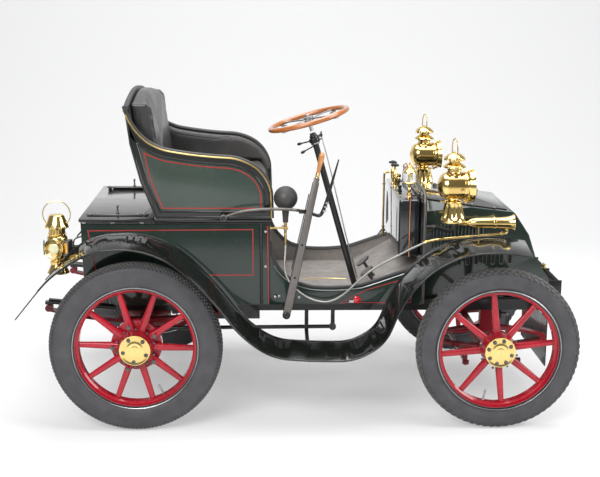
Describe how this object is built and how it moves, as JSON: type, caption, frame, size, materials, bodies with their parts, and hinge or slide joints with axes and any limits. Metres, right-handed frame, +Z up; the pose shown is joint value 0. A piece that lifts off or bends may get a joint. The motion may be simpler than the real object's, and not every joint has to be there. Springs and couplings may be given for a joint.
{
  "type": "brass era car",
  "caption": "Open two-seat brass era runabout with wooden-spoke wheels, long wings, right-hand steering wheel, brass lamps and a bulb horn.",
  "frame": {"origin": "on the ground under the middle of the car's overall length and width", "axes": "+X points forward, +Y to the car's left, +Z up"},
  "size_m": [2.4749, 1.3, 1.4608],
  "materials": {
    "body_green": "gloss",
    "wood_panel": "gloss",
    "wing_black": "gloss",
    "frame_black": "satin",
    "gear_red": "gloss",
    "wheel_red": "gloss",
    "tyre": "matt",
    "brass": "polished",
    "steel": "brushed",
    "engine_iron": "cast",
    "aluminium": "finned",
    "leather": "buttoned",
    "leather_grey": "smooth",
    "grip_wood": "varnished",
    "rubber": "satin",
    "hose": "ribbed",
    "glass": "clear"
  },
  "bodies": {
    "car": {"body_box": "wood_panel", "bonnet": "body_green", "brake_grip": "grip_wood", "brake_lever": "steel", "chassis_frame": "gear_red", "dash_board": "wood_panel", "dash_tank": "body_green", "engine": "engine_iron", "footwell": "wood_panel", "front_axle": "gear_red", "front_plate": "wing_black", "front_springs": "gear_red", "gearbox": "engine_iron", "hand_controls": "steel", "headlamp_left": "brass", "headlamp_right": "brass", "horn_bulb": "rubber", "horn_hose": "hose", "horn_trumpet": "brass", "horn_tube": "brass", "lamp_brackets": "frame_black", "lamp_glasses": "glass", "oiler": "brass", "oiler_glass": "glass", "pedals": "steel", "radiator": "aluminium", "rear_axle": "gear_red", "rear_springs": "gear_red", "seat_back": "wood_panel", "seat_back_pad": "leather", "seat_base": "wood_panel", "seat_cushion": "leather", "seat_side_left": "wood_panel", "seat_side_right": "wood_panel", "shift_rod": "steel", "starting_handle": "steel", "steering_column": "frame_black", "tail_lamp": "brass", "wing_left": "wing_black", "wing_right": "wing_black", "wing_stays": "frame_black"},
    "rear_wheel_right": {"rear_wheel_right": "wheel_red", "rear_tyre_right": "tyre", "rear_hub_cap_right": "brass"},
    "rear_wheel_left": {"rear_wheel_left": "wheel_red", "rear_tyre_left": "tyre", "rear_hub_cap_left": "brass"},
    "front_wheel_right": {"front_wheel_right": "wheel_red", "front_tyre_right": "tyre", "front_hub_cap_right": "brass"},
    "front_wheel_left": {"front_wheel_left": "wheel_red", "front_tyre_left": "tyre", "front_hub_cap_left": "brass"},
    "knuckle_right": {"knuckle_right": "frame_black"},
    "knuckle_left": {"knuckle_left": "frame_black"},
    "track_rod": {"track_rod": "frame_black"},
    "steering_wheel": {"steering_spider": "steel", "steering_rim": "grip_wood"},
    "boot_lid": {"boot_lid": "wood_panel"},
    "bonnet_lid": {"bonnet_lid": "body_green"}
  },
  "joints": [
    {"name": "rear_wheel_spin_right", "type": "hinge", "parent": "car", "child": "rear_wheel_right", "pos_m": [-0.7215, -0.56, 0.38], "axis": [0, 1, 0], "continuous": true},
    {"name": "rear_wheel_spin_left", "type": "hinge", "parent": "car", "child": "rear_wheel_left", "pos_m": [-0.7215, 0.56, 0.38], "axis": [0, 1, 0], "continuous": true},
    {"name": "front_wheel_spin_right", "type": "hinge", "parent": "knuckle_right", "child": "front_wheel_right", "pos_m": [0.8725, -0.56, 0.365], "axis": [0, 1, 0], "continuous": true},
    {"name": "front_wheel_spin_left", "type": "hinge", "parent": "knuckle_left", "child": "front_wheel_left", "pos_m": [0.8725, 0.56, 0.365], "axis": [0, 1, 0], "continuous": true},
    {"name": "steer_left", "type": "hinge", "parent": "car", "child": "knuckle_left", "pos_m": [0.8725, 0.455, 0.365], "axis": [0, 0, 1], "range_deg": [-20, 20]},
    {"name": "steer_right", "type": "hinge", "parent": "car", "child": "knuckle_right", "pos_m": [0.8725, -0.455, 0.365], "axis": [0, 0, 1], "range_deg": [-20, 20]},
    {"name": "track_rod_swing", "type": "hinge", "parent": "knuckle_left", "child": "track_rod", "pos_m": [0.7525, 0.455, 0.2657], "axis": [0, 0, 1], "range_deg": [-20, 20]},
    {"name": "steering_wheel_turn", "type": "hinge", "parent": "car", "child": "steering_wheel", "pos_m": [0.2485, -0.22, 0.613], "axis": [-0.2756, 0, 0.9613], "range_deg": [-120, 120]},
    {"name": "boot_lid_hinge", "type": "hinge", "parent": "car", "child": "boot_lid", "pos_m": [-0.6475, 0, 0.9203], "axis": [0, 1, 0], "range_deg": [0, 50]},
    {"name": "bonnet_lid_hinge", "type": "hinge", "parent": "car", "child": "bonnet_lid", "pos_m": [0.5935, 0, 0.9753], "axis": [0, -1, 0], "range_deg": [0, 80]}
  ],
  "couplings": [
    {"joint": "steer_right", "follows": "steer_left", "ratio": 1},
    {"joint": "track_rod_swing", "follows": "steer_left", "ratio": -1},
    {"joint": "steering_wheel_turn", "follows": "steer_left", "ratio": 6}
  ]
}
